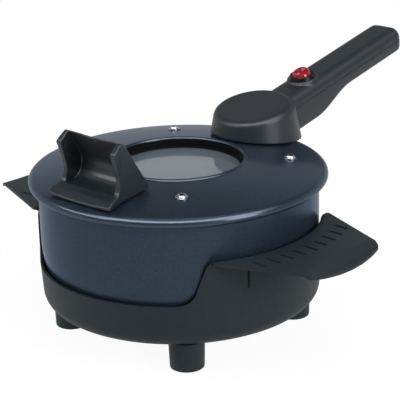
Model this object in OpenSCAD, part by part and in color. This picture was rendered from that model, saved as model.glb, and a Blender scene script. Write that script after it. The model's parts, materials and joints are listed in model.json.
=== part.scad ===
// Portable round cooker: a pan in a slotted basket, under a lid that carries the heating ring.
// Millimetres, +Z up. The mains handle points to +Y, the front grip to -Y, the carrying wings to -X and +X.
// Pieces are drawn about the pan's axis with the table at z = 0, and place() centres the whole in Y.

/* [Pan] */
// Outer diameter of the pan's wall
pan_d = 225; // [215:1:235]
// Height of the pan from its flat bottom to its rim
pan_h = 85; // [75:1:100]
// Thickness of the pan's sheet
pan_wall = 2.4; // [1.6:0.1:3.2]
// Height of the rounded foot of the wall
pan_foot_h = 42; // [30:1:50]
// How far the rounded foot draws in
pan_foot_in = 15; // [10:0.5:22]
// How far the rim stands out from the wall
pan_rim_out = 1.6; // [1:0.1:2.4]
// Height of the rim's edge
pan_rim_h = 2.4; // [1.6:0.1:4]

/* [Basket] */
// Thickness of the basket's wall and floor
basket_wall = 2.2; // [1.8:0.1:2.6]
// Gap between the pan's wall and the basket at the wings
basket_gap = 1.4; // [1.2:0.1:2.4]
// How far the basket's wall draws in from the wings to its foot
basket_taper = 3.3; // [1:0.1:3.6]
// Radius of the basket's rounded foot
basket_round = 13; // [8:0.5:16]
// Height of the cut-down walls above the basket's underside
low_wall_h = 35.5; // [25:0.5:45]
// Half width of the cut in the walls at its foot
cut_foot_x = 83.5; // [70:0.5:88]
// Half width of the cut in the walls at the wings
cut_top_x = 94; // [89:0.5:98]
// Radius of the cut's lower corners
cut_round = 13; // [6:1:18]
// Height of the ribs that carry the pan
rib_h = 13.8; // [8:0.2:20]
// Width of a rib
rib_w = 4; // [3:0.5:8]
// Number of ribs
rib_n = 6; // [4:1:8]

/* [Wings] */
// Height of the wings' top above the basket's underside
wing_up = 72; // [66:1:78]
// Thickness of a wing
wing_t = 2.4; // [2:0.1:3]
// Radius of the flare from the wall into a wing
flare_r = 6; // [4:0.5:7]
// Half width of a wing where it leaves the basket
wing_root_y = 70.3; // [68:0.1:74]
// Half width of a wing at its outer corners
wing_tip_y = 41; // [34:1:50]
// Distance from the pan's axis to the outer corners
wing_tip_x = 169.5; // [160:0.5:190]
// How far the outer edge bulges past its corners
wing_bulge = 5.5; // [4:0.1:12]
// Radius of the outer corners
wing_round = 6; // [3:0.5:9]
// Distance from the pan's axis to the start of the dip at a wing's end
dip_x = 157; // [152:0.5:162]
// Width of the dip's slope
dip_w = 11; // [8:0.5:14]
// Depth of the dip in its middle
dip_deep = 5; // [3:0.1:7]
// Radius of the dip across the wing, which leaves the corners higher
dip_r = 300; // [220:5:500]
// Number of slots in a wing
slot_n = 9; // [5:2:9]
// Distance between slots
slot_pitch = 12.4; // [8:0.2:13]
// Length of a slot
slot_l = 14.5; // [10:0.5:18]
// Width of a slot
slot_w = 2.8; // [2:0.1:5]
// Distance of the slots' centres from the pan's axis
slot_ring_r = 135; // [131:1:140]
// Length of the upright groove under a wing's end
groove_l = 19.5; // [8:0.5:22]
// Width of that groove
groove_w = 2; // [1:0.1:3]
// Depth of that groove
groove_deep = 1.2; // [0.6:0.1:1.4]

/* [Legs] */
// Height of the basket's underside above the table
leg_h = 24; // [15:0.5:35]
// Distance of the legs from the pan's axis
leg_ring_r = 91; // [80:1:92]
// Radius of a leg at the table
leg_foot_r = 13.6; // [11:0.2:16]
// Radius of a leg at the basket
leg_top_r = 14.3; // [11:0.1:16]
// Radius of the leg's rounded lower edge
leg_round = 1; // [0.6:0.1:3]
// Radius of the spigot on a leg
spigot_r = 6; // [4.5:0.1:7]
// Radius of a foot pad
pad_r = 10; // [6:0.2:11]
// Thickness of a foot pad
pad_t = 3; // [2:0.1:5]
// How far a pad stands below its leg
pad_out = 0.5; // [0.3:0.1:1.5]

/* [Lid] */
// Gap between the pan's rim and the lid's hem
lid_rim_gap = 0.5; // [0.4:0.1:1.5]
// Radius of the lid's rolled hem
lid_hem_r = 2.7; // [2:0.1:4]
// Height of the hem's centre above the pan's rim
lid_rim_up = 2; // [1.5:0.1:3]
// Thickness of the lid's sheet
lid_t = 1.6; // [1:0.1:2]
// Outer radius of the lid's shoulder
lid_shoulder_r = 5; // [4:0.2:8]
// Slope of the lid's dome at its shoulder
lid_slope_out = 0.18; // [0.14:0.01:0.22]
// Slope of the lid's dome at the window
lid_slope_in = 0.08; // [0.02:0.01:0.12]
// Diameter of the window's opening
window_d = 104.8; // [90:0.2:108]
// Radius of the bead round the window
bead_r = 2; // [1.6:0.1:2.6]
// How far the bead stands above the dome
bead_up = 1.1; // [0.6:0.1:1.6]
// Depth of the glass below the bead
window_recess = 8.5; // [7:0.1:9.5]
// Thickness of the glass
glass_t = 4; // [3:0.1:5]
// How far the glass reaches under the opening's wall
glass_lap = 1.2; // [0.8:0.1:1.8]
// Thickness of the window's seals
seal_t = 1.2; // [0.8:0.1:1.6]
// How far the seals reach in over the glass
seal_in = 2.6; // [1.5:0.1:4]
// Thickness of the inner lid's sheet
shield_t = 1; // [0.6:0.1:1.4]
// Depth of the inner lid below the pan's rim
shield_deep = 7; // [5:0.5:10]
// Gap between the inner lid and the pan's wall
shield_gap = 3.5; // [2:0.1:6]
// Distance of the front lid screws from the pan's axis
screw_front_r = 85; // [78:1:90]
// Distance of the rear lid screws from the pan's axis
screw_rear_r = 90; // [82:1:94]
// Radius of a lid screw's washer
washer_r = 5; // [4:0.1:6]
// Thickness of that washer
washer_t = 0.9; // [0.6:0.1:1.4]

/* [Heating ring] */
// Radius of the heating ring
heater_ring_r = 81; // [76:1:84]
// Radius of the heating ring's tube
heater_tube_r = 3.2; // [2.5:0.1:4]
// Gap between the tube and the inner lid
heater_drop = 5; // [3:0.2:8]
// Half the distance between the ring's two ends
heater_end_x = 14; // [11:0.5:16]

/* [Front grip] */
// Distance of the grip's front edge from the pan's axis
grip_front = 112; // [107:0.5:114]
// Distance of the grip's back edge from the pan's axis
grip_back = 63.5; // [60:0.5:68]
// Height of the grip above the lid at its back edge
grip_h = 42.5; // [34:0.5:50]
// Width over the grip's cheeks
grip_w = 61; // [54:0.5:70]
// Width of the grip's front flange
flange_w = 67; // [60:0.5:76]
// Thickness of a cheek
cheek_t = 4; // [3:0.1:6]
// Gap between the grip and the lid
grip_gap = 0.8; // [0.5:0.1:1.6]
// Dip of the grip's top edge between the cheeks
grip_dip = 2.5; // [1:0.1:4]
// Half the distance between the grip's screws
grip_screw_x = 17; // [12:0.5:20]

/* [Handle] */
// Distance of the handle's boss from the pan's axis
boss_y = 95.2; // [92:0.2:98]
// Radius of the boss where it meets the lid
boss_foot_r = 38.2; // [35:0.1:38.6]
// Radius of the boss at its top face
boss_top_r = 33.4; // [30:0.1:34.4]
// Tilt of the boss's underside, along the lid's slope
boss_tilt = 7.1; // [5:0.1:9]
// Gap between the boss and the lid
boss_gap = 0.6; // [0.5:0.1:1.5]
// Rise of the handle towards its end
handle_rise_a = 11.3; // [8:0.1:14]
// Height of the handle's parting line above the lid, over the boss's axis
handle_up = 11.1; // [10:0.1:14]
// Length of the handle from the boss's axis
handle_l = 189; // [170:1:210]
// Half the width of the handle
handle_hw = 16.5; // [14.5:0.1:18]
// Height of the upper shell above the parting line
shell_up = 10.9; // [10:0.1:12]
// Depth of the lower shell below the parting line, at the grip
grip_deep = 10.6; // [10:0.1:12]
// Depth of the lower shell at its belly
belly_deep = 22; // [18:0.1:24]
// Where the belly ends along the handle
belly_end = 71; // [66:1:76]
// Where the slim grip starts along the handle
slim_start = 107; // [100:1:112]
// Radius of the handle's end, seen from above
end_r = 7; // [4:0.5:8]
// Thickness of the handle's shells
shell_wall = 2.5; // [2:0.1:3]
// Height of the boss's top face above the parting line
boss_up = 15.4; // [13:0.1:16.4]
// Radius of the boss's rounded top edge
boss_round = 5; // [3:0.1:6]

/* [Switch and inlet] */
// Where the switch sits along the handle
switch_s = 66; // [63:0.5:70]
// Radius of the switch's hole
switch_hole_r = 10; // [9:0.1:10.5]
// Height of the pad under the bezel
pad_up = 2; // [1:0.1:3]
// Outer radius of the bezel's foot
bezel_r = 12.2; // [11.4:0.1:13]
// Height of the bezel
bezel_h = 2.6; // [2.4:0.1:4]
// Radius of the rocker
rocker_r = 8.2; // [7:0.1:8.6]
// Throw of the rocker from one side to the other
rocker_throw = 20; // [10:1:24]
// Radius of the rocker's pivots
pivot_r = 1.2; // [1:0.1:1.5]
// Width of the power inlet
inlet_w = 13; // [12:0.5:14]
// Height of the power inlet
inlet_h = 11; // [10:0.5:12]
// Depth of the power inlet
inlet_l = 17; // [14:0.5:19]

/* [Hidden] */
$fn = 72;
part_gap = 0.1;
fit_gap = 0.15;
screw_r = 2;
screw_head_r = 3.6;
screw_head_h = 1.8;
bore_gap = 0.1;
over = 1;
far = 400;
arc_n = 8;

// heights
basket_z = leg_h;
floor_z = basket_z + basket_wall;
wing_z = basket_z + wing_up;
low_wall_z = basket_z + low_wall_h;
pan_z = floor_z + rib_h;
pan_top = pan_z + pan_h;
rim_z = pan_top + lid_rim_up;

// pan and basket radii
pan_r = pan_d/2;
pan_rim_r = pan_r + pan_rim_out;
basket_top_r = pan_r + basket_gap + basket_wall;
basket_foot_r = basket_top_r - basket_taper;

// lid
lid_r = pan_rim_r + lid_rim_gap + 2*lid_hem_r;
shoulder_a = atan(lid_slope_out);
shoulder_x = lid_r - lid_shoulder_r + lid_shoulder_r*sin(shoulder_a);
shoulder_z = rim_z + lid_shoulder_r*cos(shoulder_a);
window_r = window_d/2;
bead_x = window_r + bead_r;
dome_l = shoulder_x - bead_x;
dome_bend = (lid_slope_out - lid_slope_in)/(2*dome_l);
bead_z = lid_z(bead_x) + bead_up - bead_r;
glass_top = bead_z + bead_r - window_recess;
glass_z = glass_top - glass_t;
glass_r = window_r + glass_lap;
collar_z = glass_z - seal_t;
collar_r = glass_r + 2;
shield_z = pan_top - shield_deep;
shield_top = shield_z + shield_t;
shield_r = pan_r - pan_wall - shield_gap;
heater_z = shield_z - heater_drop - heater_tube_r;

// Height of the lid's outer face at a distance from the axis, and its slope there
function lid_z(r) = shoulder_z + lid_slope_out*(shoulder_x - r) - dome_bend*pow(shoulder_x - r, 2);
function lid_slope(r) = lid_slope_out - 2*dome_bend*(shoulder_x - r);

// handle frame
handle_z = lid_z(boss_y) + handle_up;
seat_z = lid_z(boss_y) + boss_gap;
spacer_t = 3;
plate_t = 3;
end_sink = 3;
handle_end_y = boss_y + handle_l*cos(handle_rise_a) + (grip_deep - end_sink)*sin(handle_rise_a);
frame_y = -(handle_end_y - lid_r)/2;

// colours
navy = "#2c3a50";
charcoal = "#2b2e31";
black = "#1b1d1f";
steel = "#c9ccd0";
bright = "#dfe2e4";
ceramic = "#efe9dc";
red = "#b3121f";

// Shared shapes

module place() {
    translate([0, frame_y, 0]) children();
}

// Points of an arc about c, from angle a0 to a1
function arc(c, r, a0, a1, n = arc_n) =
    [for (i = [0:n]) c + r*[cos(a0 + (a1 - a0)*i/n), sin(a0 + (a1 - a0)*i/n)]];

function backwards(p) = [for (i = [len(p) - 1:-1:0]) p[i]];
function unit(v) = v/norm(v);
function turn(a) = a > 180 ? a - 360 : a < -180 ? a + 360 : a;

// The rounded corner b between the points a and c
function corner(a, b, c, r, n = 6) =
    let (u = unit(a - b), v = unit(c - b), half = acos(u*v)/2)
    let (o = b + unit(u + v)*r/sin(half), s = b + u*r/tan(half) - o, e = b + v*r/tan(half) - o)
    let (a0 = atan2(s.y, s.x), sweep = turn(atan2(e.y, e.x) - a0))
    arc(o, r, a0, a0 + sweep, n);

// A closed outline with each corner rounded by its own radius
function rounded(p, r, n = 6) =
    let (m = len(p))
    [for (i = [0:m - 1]) each (r[i] > 0 ? corner(p[(i + m - 1)%m], p[i], p[(i + 1)%m], r[i], n) : [p[i]])];

// A solid skinned over rings of points that all have the same count
module loft(rings) {
    m = len(rings[0]);
    n = len(rings);
    function face(i, j) = [[i*m + j, i*m + (j + 1)%m, (i + 1)*m + j],
                           [i*m + (j + 1)%m, (i + 1)*m + (j + 1)%m, (i + 1)*m + j]];
    polyhedron(
        points = [for (ring = rings) each ring],
        faces = concat([[for (j = [m - 1:-1:0]) j]],
                       [for (i = [0:n - 2], j = [0:m - 1]) each face(i, j)],
                       [[for (j = [0:m - 1]) (n - 1)*m + j]])
    );
}

// An outline in Y and Z, drawn out along X and centred
module across_x(width) {
    rotate([90, 0, 90]) linear_extrude(height = width, center = true) children();
}

// An outline in X and Z, drawn out along Y and centred
module along_y(depth) {
    rotate([90, 0, 0]) linear_extrude(height = depth, center = true) children();
}

module ring(r_in, r_out, h) {
    rotate_extrude() translate([r_in, 0]) square([r_out - r_in, h]);
}

// A screw with its head's underside at z = 0 and its shank going down
module screw(length) {
    cylinder(h = screw_head_h, r1 = screw_head_r, r2 = screw_head_r*0.8);
    translate([0, 0, -length]) cylinder(h = length + 0.01, r = screw_r);
}

module at_legs() {
    for (i = [0:3]) rotate([0, 0, -45 + 90*i]) translate([leg_ring_r, 0, 0]) children();
}

// Basket

flare_z = wing_z - flare_r;
flare_over = 0.15;
bowl_in_r = basket_top_r - basket_wall;

// The bowl's outside, and its inside that flares out at the wings
function bowl_foot(inset) =
    arc([basket_foot_r - basket_round, basket_z + basket_round], basket_round - inset, -90, 0);

module bowl_outside() {
    wall = [[basket_top_r, flare_z], [basket_top_r, wing_z], [0, wing_z]];
    rotate_extrude() polygon(concat([[0, basket_z]], bowl_foot(0), wall));
}

module bowl_inside() {
    flare = arc([bowl_in_r + flare_r, flare_z + flare_over], flare_r, 180, 90);
    mouth = [[bowl_in_r + flare_r, wing_z + over], [0, wing_z + over]];
    rotate_extrude() polygon(concat([[0, floor_z]], bowl_foot(basket_wall), flare, mouth));
}

// The filled corner under the flare, between the wall and the wing
module flare_under() {
    under_r = flare_r - wing_t;
    mid = 0.96*under_r;
    root_r = basket_top_r - basket_wall*0.7;
    root_z = wing_z - wing_t/2;
    rotate_extrude() polygon(concat(
        [[root_r, wing_z - wing_t - mid]],
        arc([basket_top_r + mid, wing_z - wing_t - mid], under_r, 180, 90),
        [[basket_top_r + mid, root_z], [root_r, root_z]]
    ));
}

wing_arc_r = (wing_tip_y*wing_tip_y + wing_bulge*wing_bulge)/(2*wing_bulge);
wing_arc_x = wing_tip_x + wing_bulge - wing_arc_r;
wing_arc_a = asin(wing_tip_y/wing_arc_r);

root_round = 3;
root_x = cut_top_x + 2;
root_in_y = sqrt(pow(bowl_in_r, 2) - pow(root_x, 2)) - 3;

// A wing's outline: a rounded root, straight sides, and an outer edge on an arc
function wing_line() =
    let (edge = arc([wing_arc_x, 0], wing_arc_r, -wing_arc_a, wing_arc_a, 6))
    let (front = [[cut_foot_x, -root_in_y], [root_x, -root_in_y], [root_x, -wing_root_y]])
    let (rear = [[root_x, wing_root_y], [root_x, root_in_y], [cut_foot_x, root_in_y]])
    let (radii = [0, 0, root_round, wing_round, 0, 0, 0, 0, 0, wing_round, root_round, 0, 0])
    rounded(concat(front, edge, rear), radii);

dip_fall = 1;
dip_lap = 0.4;

// The hollow above a wing's end, moved down by d: a cone and a flatter lip about an axis high above the wing
module dip(d, start) {
    edge = wing_tip_x + 2*wing_bulge;
    top = [dip_r - dip_deep + start, dip_x - start];
    line = [top, [dip_r + d, dip_x + dip_w], [dip_r + dip_fall + d, edge]];
    translate([0, 0, wing_z - dip_deep + dip_r]) rotate([0, 90, 0])
        rotate_extrude($fn = 360) polygon(concat([[0, top.y]], line, [[0, edge]]));
}

// A wing is a sheet with a dip across its outer end, cut to the wing's outline
module wing() {
    intersection() {
        linear_extrude(height = wing_z) polygon(wing_line());
        union() {
            difference() {
                union() {
                    translate([0, -far/2, wing_z - wing_t]) cube([far, far, wing_t + over]);
                    dip(wing_t, wing_t - dip_lap);
                }
                dip(0, 0);
            }
            flare_under();
        }
    }
}

module slot() {
    linear_extrude(height = 3*wing_t, center = true) {
        square([slot_l - slot_w, slot_w], center = true);
        for (s = [-1, 1]) translate([s*(slot_l - slot_w)/2, 0]) circle(d = slot_w);
    }
}

module wing_slots() {
    for (i = [0:slot_n - 1]) {
        y = (i - (slot_n - 1)/2)*slot_pitch;
        translate([sqrt(slot_ring_r*slot_ring_r - y*y), y, wing_z - wing_t/2]) slot();
    }
}

groove_a = 20.5;
groove_down = 1;

module wall_grooves() {
    groove_top = flare_z - groove_down;
    for (a = [-groove_a, groove_a]) rotate([0, 0, a])
        translate([basket_top_r - basket_taper*0.3 - groove_deep, -groove_w/2, groove_top - groove_l])
            cube([far, groove_w, groove_l]);
}

cut_flare_h = 5;

// The cut that lowers the front and back walls between the wings; it flares out just under the wings
module wall_cut() {
    rise = (cut_top_x - cut_foot_x)/(wing_z - low_wall_z);
    knee = [cut_top_x - rise*cut_flare_h, wing_z - cut_flare_h];
    half = [[cut_foot_x, low_wall_z], knee, [root_x, wing_z + over]];
    outline = concat([for (p = backwards(half)) [-p.x, p.y]], half);
    along_y(far) polygon(rounded(outline, [0, 8, cut_round, cut_round, 8, 0]));
}

rib_in = 55;
rib_sink = 0.5;
leg_washer_r = spigot_r + 3;
head_room = 0.1;

module pan_ribs() {
    rib_out = pan_r - pan_foot_in - 4;
    for (i = [0:rib_n - 1]) rotate([0, 0, 360*i/rib_n])
        translate([rib_in, -rib_w/2, floor_z - rib_sink]) cube([rib_out - rib_in, rib_w, rib_h + rib_sink]);
}

module basket() {
    place() color(charcoal) {
        difference() {
            union() {
                bowl_outside();
                for (m = [0, 1]) mirror([m, 0, 0]) wing();
            }
            bowl_inside();
            wall_cut();
            for (m = [0, 1]) mirror([m, 0, 0]) {
                wing_slots();
                wall_grooves();
            }
            at_legs() {
                translate([0, 0, basket_z - over]) cylinder(h = basket_wall + 2*over, r = spigot_r + bore_gap);
                translate([0, 0, floor_z + head_room]) cylinder(h = basket_round, r = leg_washer_r + part_gap);
            }
        }
        pan_ribs();
    }
}

// Legs

module leg(i) {
    place() color(charcoal) rotate([0, 0, -45 + 90*i]) translate([leg_ring_r, 0, 0]) {
        difference() {
            union() {
                rotate_extrude() polygon(concat(
                    [[0, pad_out]],
                    arc([leg_foot_r - leg_round, pad_out + leg_round], leg_round, -90, 0, 4),
                    [[leg_top_r, basket_z], [0, basket_z]]
                ));
                translate([0, 0, basket_z - 0.5]) cylinder(h = basket_wall + 0.5, r = spigot_r);
            }
            translate([0, 0, pad_out - over]) cylinder(h = pad_t - pad_out + over, r = pad_r + part_gap);
            translate([0, 0, pad_t + 2]) cylinder(h = leg_h + basket_wall, r = screw_r + bore_gap);
        }
    }
}

module leg_front_right() { leg(0); }
module leg_rear_right() { leg(1); }
module leg_rear_left() { leg(2); }
module leg_front_left() { leg(3); }

module foot_pads() {
    place() color(black) at_legs() cylinder(h = pad_t, r = pad_r);
}

module leg_screws() {
    washer_h = 1;
    place() color(steel) at_legs() translate([0, 0, floor_z]) {
        cylinder(h = washer_h, r = leg_washer_r);
        translate([0, 0, washer_h]) screw(leg_h*0.6);
    }
}

// Pan

function foot_arc(a, b) =
    [for (i = [0:12]) [pan_r - pan_foot_in + a*sin(90*i/12), pan_z + pan_foot_h - b*cos(90*i/12)]];

rim_chamfer = 0.4;

module pan() {
    place() color(navy) rotate_extrude() polygon(concat(
        [[0, pan_z]],
        foot_arc(pan_foot_in, pan_foot_h),
        [[pan_r, pan_top - pan_rim_h], [pan_rim_r - rim_chamfer, pan_top - pan_rim_h],
         [pan_rim_r, pan_top - pan_rim_h + rim_chamfer], [pan_rim_r, pan_top], [pan_r - pan_wall, pan_top]],
        [for (p = [12:-1:0]) foot_arc(pan_foot_in - pan_wall, pan_foot_h - pan_wall)[p]],
        [[0, pan_z + pan_wall]]
    ));
}

// Lid

// The dome's line from a distance r0 to just short of the shoulder, lowered by d
function dome_line(r0, d, n = 12) =
    [for (i = [0:n - 1]) let (r = r0 + (shoulder_x - r0)*i/n) [r, lid_z(r) - d]];

// The lid's section: window wall, bead, dome, shoulder and rolled hem, then back along the underside
function lid_section() =
    let (wall_z = glass_top + seal_t, wall_r = window_r + lid_t)
    let (bead_a = asin((lid_z(bead_x + bead_r) - bead_z)/bead_r))
    concat(
        [[window_r, wall_z]],
        arc([bead_x, bead_z], bead_r, 180, bead_a),
        dome_line(bead_x + bead_r + 0.2, 0),
        arc([lid_r - lid_shoulder_r, rim_z], lid_shoulder_r, 90 - shoulder_a, 0),
        arc([lid_r - lid_hem_r, rim_z], lid_hem_r, -20, -200, 10),
        [[shoulder_x, shoulder_z - lid_t]],
        backwards(dome_line(wall_r, lid_t)),
        [[wall_r, wall_z]]
    );

// Stands on the lid's outer face at a lid screw, square to the face
module at_lid_screws() {
    for (i = [0:3]) {
        r = i < 2 ? screw_rear_r : screw_front_r;
        rotate([0, 0, 45 + 90*i]) translate([r, 0, lid_z(r)]) rotate([0, atan(lid_slope(r)), 0]) children();
    }
}

grip_screw_y = -(grip_back + 9);

module at_grip_screws() {
    for (s = [-1, 1]) translate([s*grip_screw_x, grip_screw_y, 0]) children();
}

// The frame of the boss's underside: its origin lies on the boss's axis
module on_seat() {
    translate([0, boss_y, seat_z]) rotate([-boss_tilt, 0, 0]) children();
}

seat_screw_r = 24;
seat_screw_a = [-90, 20, 160];

module at_seat_screws() {
    for (a = seat_screw_a) on_seat() rotate([0, 0, a]) translate([seat_screw_r, 0, 0]) children();
}

wire_hole_r = 6;

module lid_shell() {
    place() color(navy) difference() {
        rotate_extrude() polygon(lid_section());
        at_lid_screws() cylinder(h = 8*lid_t, r = screw_r + bore_gap, center = true);
        at_grip_screws() translate([0, 0, rim_z]) cylinder(h = far, r = screw_r + bore_gap);
        at_seat_screws() cylinder(h = far/4, r = screw_r + bore_gap, center = true);
        on_seat() cylinder(h = far/4, r = wire_hole_r, center = true);
    }
}

module inner_lid() {
    flange_r = pan_rim_r - 0.3;
    collar_in = window_r - seal_in;
    place() color(bright) difference() {
        rotate_extrude() {
            translate([shield_r, pan_top]) square([flange_r - shield_r, shield_t]);
            translate([shield_r, shield_z]) square([shield_t, pan_top + shield_t - shield_z]);
            translate([collar_r, shield_z]) square([shield_r + shield_t - collar_r, shield_t]);
            translate([collar_r, shield_z]) square([shield_t, collar_z - shield_z]);
            translate([collar_in, collar_z - shield_t]) square([collar_r + shield_t - collar_in, shield_t]);
        }
        at_ring_ends() translate([0, 0, shield_z - over])
            cylinder(h = shield_t + 2*over, r = bush_r + bore_gap);
    }
}

module window_glass() {
    place() color("#9fb0b4") translate([0, 0, glass_z]) cylinder(h = glass_t, r = glass_r);
}

module window_seal_upper() {
    place() color(black) translate([0, 0, glass_top]) ring(window_r - seal_in, glass_r, seal_t);
}

module window_seal_lower() {
    place() color(black) translate([0, 0, collar_z]) ring(window_r - seal_in, glass_r, seal_t);
}

post_r = 4;
post_reach = 60;

// A post stands on the inner lid and is cut off under the lid's face
module lid_posts() {
    place() color(steel) intersection() {
        difference() {
            at_lid_screws() translate([0, 0, -post_reach])
                cylinder(h = post_reach - lid_t - part_gap, r = post_r);
            at_lid_screws() translate([0, 0, -post_reach]) cylinder(h = 2*post_reach, r = screw_r + bore_gap);
        }
        translate([0, 0, shield_top]) cylinder(h = far, r = lid_r);
    }
}

washer_lift = 0.05;
lid_screw_l = 9;

module lid_washers() {
    place() color(bright) at_lid_screws() translate([0, 0, washer_lift])
        ring(screw_r + bore_gap, washer_r, washer_t);
}

module lid_screws() {
    place() color(steel) at_lid_screws() translate([0, 0, washer_lift + washer_t]) screw(lid_screw_l);
}

// Heating ring

heater_end_r = heater_tube_r + 0.3;
bush_r = heater_end_r + 2;
ring_end_y = sqrt(heater_ring_r*heater_ring_r - heater_end_x*heater_end_x);
block_l = 15;
block_h = 9;
block_top = shield_top + block_h;
ring_end_up = 7;

module at_ring_ends() {
    for (s = [-1, 1]) translate([s*heater_end_x, ring_end_y, 0]) children();
}

// The ring lies under the inner lid; its two ends turn up into thicker cold pins
module heating_ring() {
    end_a = atan2(ring_end_y, heater_end_x);
    place() color("#6d6a66") {
        translate([0, 0, heater_z]) rotate([0, 0, 180 - end_a]) rotate_extrude(angle = 180 + 2*end_a)
            translate([heater_ring_r, 0]) circle(r = heater_tube_r);
        at_ring_ends() translate([0, 0, heater_z - heater_end_r])
            cylinder(h = shield_top + ring_end_up - heater_z + heater_end_r, r = heater_end_r);
    }
}

clip_w = 8;
clip_t = 1;

// A strap round the tube, hung from the inner lid by two feet
module ring_clips() {
    hook_r = heater_tube_r + part_gap;
    place() color(steel) for (a = [-150, -90, -30]) rotate([0, 0, a])
        translate([heater_ring_r, 0, heater_z]) along_y(clip_w) difference() {
            union() {
                circle(r = hook_r + clip_t);
                translate([-hook_r - clip_t, 0]) square([2*(hook_r + clip_t), heater_tube_r + heater_drop]);
                translate([-hook_r - 6, heater_tube_r + heater_drop - clip_t]) square([2*(hook_r + 6), clip_t]);
            }
            circle(r = hook_r);
            translate([-hook_r, 0]) square([2*hook_r, heater_tube_r + heater_drop + over]);
        }
}

bush_h = 3;
bush_lip = 2;

module ring_bushes() {
    place() color(ceramic) at_ring_ends() translate([0, 0, shield_z - bush_h]) {
        ring(heater_end_r + bore_gap, bush_r, bush_h + shield_t);
        ring(heater_end_r + bore_gap, bush_r + bush_lip, bush_h - part_gap);
    }
}

block_side = 8;
wire_port_in = 8;
wire_port_r = 2;
wire_port_z = shield_top + 4;

module terminal_block() {
    block_w = 2*(heater_end_x + block_side);
    place() color(ceramic) difference() {
        translate([-block_w/2, ring_end_y - block_l/2, shield_top]) cube([block_w, block_l, block_h]);
        at_ring_ends() translate([0, 0, shield_z])
            cylinder(h = ring_end_up + shield_t + part_gap, r = heater_end_r + bore_gap);
        for (s = [-1, 1]) translate([s*(heater_end_x - wire_port_in), ring_end_y, wire_port_z])
            cylinder(h = block_h, r = wire_port_r);
    }
}

cutout_a = 32;
cutout_r = 8;
cutout_h = 6;

// The thermal cut-out lies on the inner lid beside the terminal block
module thermal_cutout() {
    place() color("#3a3a3c") rotate([0, 0, cutout_a]) translate([0, heater_ring_r, shield_top]) {
        cylinder(h = cutout_h, r = cutout_r);
        cylinder(h = 1, r = cutout_r + 3);
    }
}

// Front grip

grip_boss_r = 5.5;
grip_screw_deep = 8;

module front_grip() {
    low_f = lid_z(grip_front) + grip_gap;
    low_b = lid_z(grip_back) + grip_gap;
    top_z = low_b + grip_h;
    dip_r = 150;
    side = rounded(
        [[-grip_front, low_f], [-grip_front, low_f + 1.6], [-grip_front + 6, low_f + 5.8],
         [-grip_front + 14, low_f + 8.5], [-grip_front + 17, low_f + 18],
         [-grip_front + 11, top_z - 8], [-grip_front + 20.5, top_z],
         [-grip_back - 24.5, top_z - 4], [-grip_back, low_b]],
        [0, 0, 8, 6, 18, 3, 3, 4, 1.5]
    );
    scoop = rounded(
        [[-grip_front + 16.5, top_z + 4], [-grip_front + 33, top_z - 25], [-grip_front + 29, low_f + 6.5],
         [-grip_front - 2, low_f + 9.5], [-grip_front - 17, top_z + 4]],
        [0, 12, 13, 0, 0]
    );
    front_r = 370;
    front_a = asin(flange_w/2/front_r);
    front = arc([0, front_r - grip_front], front_r, -90 - front_a, -90 + front_a, 6);
    waist = [grip_w/2, -grip_front + 18];
    back = [grip_w/2, -grip_back + over];
    plan = rounded(
        concat([[-back.x, back.y], [-waist.x, waist.y]], front, [waist, back]),
        [0, 6, 2, 0, 0, 0, 0, 0, 2, 6, 0]
    );
    place() color(black) difference() {
        union() {
            intersection() {
                across_x(flange_w + 2*over) polygon(side);
                linear_extrude(height = far) polygon(plan);
            }
            at_grip_screws() translate([0, 0, rim_z]) cylinder(h = low_b + 2 - rim_z, r = grip_boss_r);
        }
        across_x(grip_w - 2*cheek_t) polygon(scoop);
        translate([0, 0, top_z - grip_dip + dip_r]) rotate([90, 0, 0])
            cylinder(h = far, r = dip_r, center = true, $fn = 180);
        lid_cover(part_gap);
        at_grip_screws() translate([0, 0, rim_z])
            cylinder(h = lid_z(grip_back) + grip_screw_deep - rim_z, r = screw_r + bore_gap);
    }
}

// All that lies below the lid's outer face raised by d
module lid_cover(d) {
    foot_z = rim_z - 2*lid_hem_r;
    line = dome_line(bead_x, -d);
    shoulder = arc([lid_r - lid_shoulder_r, rim_z], lid_shoulder_r + d, 90 - shoulder_a, 0);
    rotate_extrude() polygon(concat([[0, foot_z], [0, line[0].y]], line, shoulder, [[lid_r + d, foot_z]]));
}

grip_screw_l = 9;

module front_grip_screws() {
    head_r = norm([grip_screw_x, grip_screw_y]) + screw_head_r;
    head_z = lid_z(head_r) - lid_t - part_gap;
    place() color(steel) at_grip_screws() translate([0, 0, head_z]) mirror([0, 0, 1]) screw(grip_screw_l);
}

// Handle

// The handle's frame: X across, Y along the handle from the boss's axis, Z up from the parting line
module on_handle() {
    translate([0, boss_y, handle_z]) rotate([handle_rise_a, 0, 0]) children();
}

function handle_point(p) = [
    p.x,
    boss_y + p.y*cos(handle_rise_a) - p.z*sin(handle_rise_a),
    handle_z + p.y*sin(handle_rise_a) + p.z*cos(handle_rise_a)
];

function in_handle(points) = [for (p = points) handle_point(p)];

function smooth(t) = let (c = min(max(t, 0), 1)) c*c*(3 - 2*c);

// Half width of the handle, with its end rounded in plan, and depth of the lower shell
function half_w(s) = let (d = max(s - handle_l + end_r, 0)) handle_hw - end_r + sqrt(max(end_r*end_r - d*d, 0));
function deep(s) = belly_deep + (grip_deep - belly_deep)*smooth((s - belly_start)/belly_l);

// Stations along the handle, close together where the belly rises and where the end is rounded
belly_start = belly_end - 8;
belly_l = slim_start + 4 - belly_start;
stations_belly = [for (i = [0:8]) belly_start + belly_l*i/8];
stations_end = [for (i = [0:6]) handle_l - end_r + end_r*sin(15*i)];
shell_start = 18;
mouth_l = 28;
parting_gap = 0.05;
stations = concat([shell_start], stations_belly, stations_end);

function end_drop(s) = end_sink*pow(max(s - handle_l + end_r, 0)/end_r, 2);

side_h = 1.6;
crown_in = 8.2;

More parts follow.
